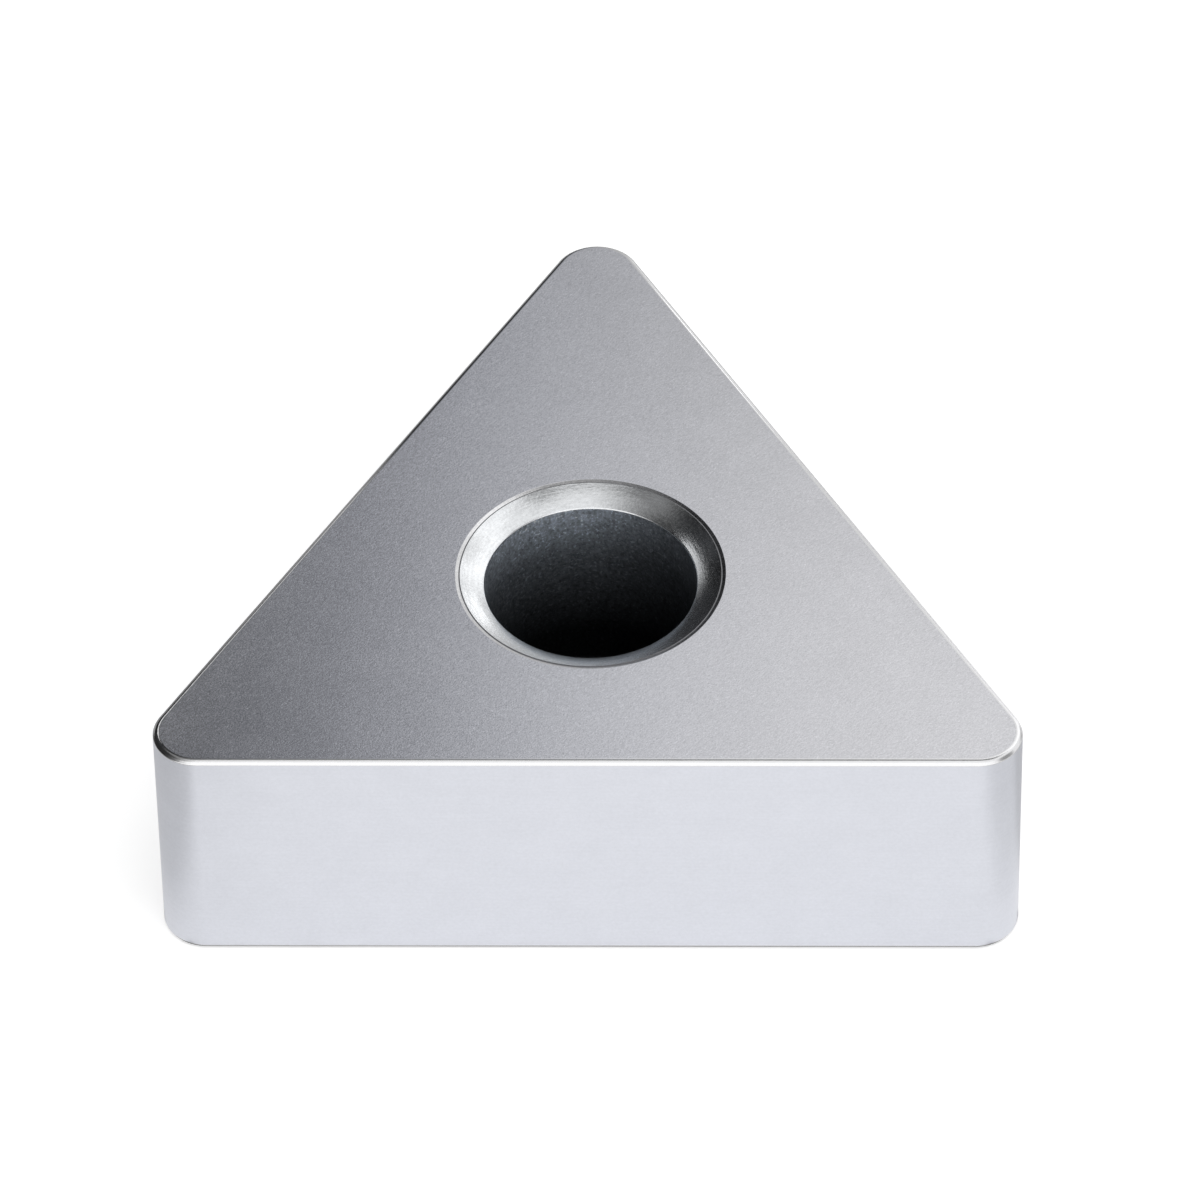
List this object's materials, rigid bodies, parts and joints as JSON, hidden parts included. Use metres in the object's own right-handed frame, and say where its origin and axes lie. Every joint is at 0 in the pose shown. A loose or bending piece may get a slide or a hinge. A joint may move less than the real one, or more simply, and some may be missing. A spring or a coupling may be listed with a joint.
{
  "type": "carbide insert",
  "caption": "Triangular double-sided carbide insert with flat faces, rounded corners, bevelled cutting edges and a countersunk through hole.",
  "frame": {"origin": "where the hole's axis meets the lower face, which is the face the insert lies or seats on", "axes": "+Z along the hole, out of the upper face; +Y towards one corner; -Y square to the flank opposite that corner"},
  "size_m": [0.0154, 0.0135, 0.0048],
  "materials": {
    "carbide": "fine ground"
  },
  "bodies": {
    "root": {"carbide_insert": "carbide"}
  },
  "joints": []
}
